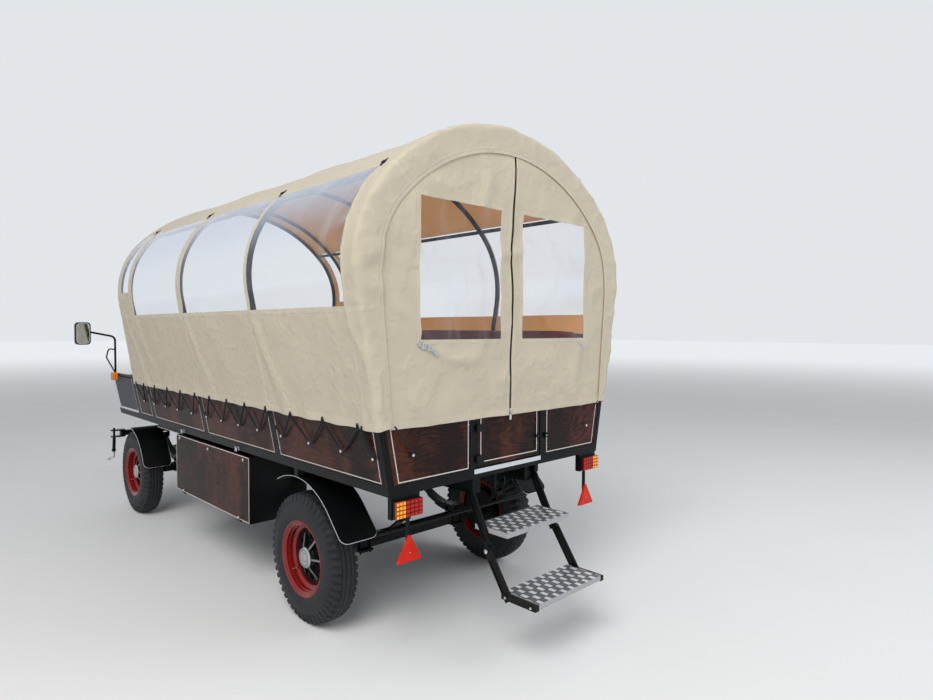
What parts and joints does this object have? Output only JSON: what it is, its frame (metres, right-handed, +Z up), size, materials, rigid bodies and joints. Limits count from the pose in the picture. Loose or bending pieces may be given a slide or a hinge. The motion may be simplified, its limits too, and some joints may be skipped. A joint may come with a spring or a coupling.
{
  "type": "covered passenger wagon",
  "caption": "Covered passenger wagon with a boarded steel body, cream hooped canopy with clear windows, steered front bogie, drawbar and folding rear steps.",
  "frame": {"origin": "on the ground under the middle of the overall length, on the wagon's middle plane", "axes": "+X forward towards the towing eye, +Y left, +Z up"},
  "size_m": [6.9117, 2.49, 2.8658],
  "materials": {
    "black_steel": "satin black paint",
    "stained_wood": "stained and varnished plywood",
    "floor_wood": "phenolic faced plywood",
    "canvas": "cream coated canvas",
    "clear_sheet": "clear flexible sheet",
    "zip_black": "matt",
    "seat_cover": "upholstery",
    "footwell_panel": "textured sheet",
    "amber_lens": "gloss",
    "red_lens": "gloss",
    "reflector_red": "prismatic",
    "tread_plate": "five-bar tread plate",
    "tyre_rubber": "matt",
    "rim_red": "gloss red paint",
    "hub_black": "gloss black paint"
  },
  "bodies": {
    "wagon": {"chassis_frame": "black_steel", "body_frame": "black_steel", "wall_frames": "black_steel", "floor": "floor_wood", "side_boards": "stained_wood", "rear_boards": "stained_wood", "hoops": "black_steel", "purlins": "black_steel", "canopy_cloth": "canvas", "side_windows": "clear_sheet", "rear_curtain": "canvas", "rear_windows": "clear_sheet", "rear_zip": "zip_black", "benches": "stained_wood", "cushions": "seat_cover", "drivers_bench": "stained_wood", "footwell": "footwell_panel", "mirrors": "black_steel", "front_lamps": "amber_lens", "storage_boxes": "black_steel", "rear_axle": "black_steel", "rear_springs": "black_steel", "rear_mudguards": "black_steel", "step_stringers": "black_steel", "upper_tread": "tread_plate", "lamp_brackets": "black_steel", "rear_lamps": "red_lens", "rear_indicators": "amber_lens", "reflectors": "reflector_red"},
    "front_bogie": {"front_bogie": "black_steel", "front_axle": "black_steel", "front_springs": "black_steel", "front_mudguards": "black_steel", "splinter_bar": "black_steel"},
    "drawbar": {"drawbar": "black_steel"},
    "rear_door": {"rear_door": "stained_wood"},
    "box_lid_left": {"box_lid_left": "stained_wood"},
    "box_lid_right": {"box_lid_right": "stained_wood"},
    "lower_steps": {"lower_stringers": "black_steel", "lower_tread": "tread_plate"},
    "wheel_rear_left": {"tyre_rear_left": "tyre_rubber", "rim_rear_left": "rim_red", "hub_rear_left": "hub_black"},
    "wheel_rear_right": {"tyre_rear_right": "tyre_rubber", "rim_rear_right": "rim_red", "hub_rear_right": "hub_black"},
    "wheel_front_left": {"tyre_front_left": "tyre_rubber", "rim_front_left": "rim_red", "hub_front_left": "hub_black"},
    "wheel_front_right": {"tyre_front_right": "tyre_rubber", "rim_front_right": "rim_red", "hub_front_right": "hub_black"}
  },
  "joints": [
    {"name": "wheel_rear_left_spin", "type": "hinge", "parent": "wagon", "child": "wheel_rear_left", "pos_m": [-2.11574, 0.747, 0.385], "axis": [0, 1, 0], "continuous": true},
    {"name": "wheel_rear_right_spin", "type": "hinge", "parent": "wagon", "child": "wheel_rear_right", "pos_m": [-2.11574, -0.747, 0.385], "axis": [0, 1, 0], "continuous": true},
    {"name": "wheel_front_left_spin", "type": "hinge", "parent": "front_bogie", "child": "wheel_front_left", "pos_m": [0.99125, 0.747, 0.385], "axis": [0, 1, 0], "continuous": true},
    {"name": "wheel_front_right_spin", "type": "hinge", "parent": "front_bogie", "child": "wheel_front_right", "pos_m": [0.99125, -0.747, 0.385], "axis": [0, 1, 0], "continuous": true},
    {"name": "steering", "type": "hinge", "parent": "wagon", "child": "front_bogie", "pos_m": [0.99125, 0, 0.802], "axis": [0, 0, 1], "range_deg": [-60, 60]},
    {"name": "drawbar_lift", "type": "hinge", "parent": "front_bogie", "child": "drawbar", "pos_m": [1.55926, 0, 0.5], "axis": [0, -1, 0], "range_deg": [0, 40]},
    {"name": "rear_door_swing", "type": "hinge", "parent": "wagon", "child": "rear_door", "pos_m": [-3.02575, 0.272, 1.1], "axis": [0, 0, -1], "range_deg": [0, 95]},
    {"name": "box_lid_left_drop", "type": "hinge", "parent": "wagon", "child": "box_lid_left", "pos_m": [-0.85074, 0.8503, 0.45], "axis": [-1, 0, 0], "range_deg": [0, 120]},
    {"name": "box_lid_right_drop", "type": "hinge", "parent": "wagon", "child": "box_lid_right", "pos_m": [-0.85074, -0.8503, 0.45], "axis": [1, 0, 0], "range_deg": [0, 120]},
    {"name": "lower_steps_fold", "type": "hinge", "parent": "wagon", "child": "lower_steps", "pos_m": [-3.12374, 0, 0.56], "axis": [0, 1, 0], "range_deg": [0, 100]}
  ]
}
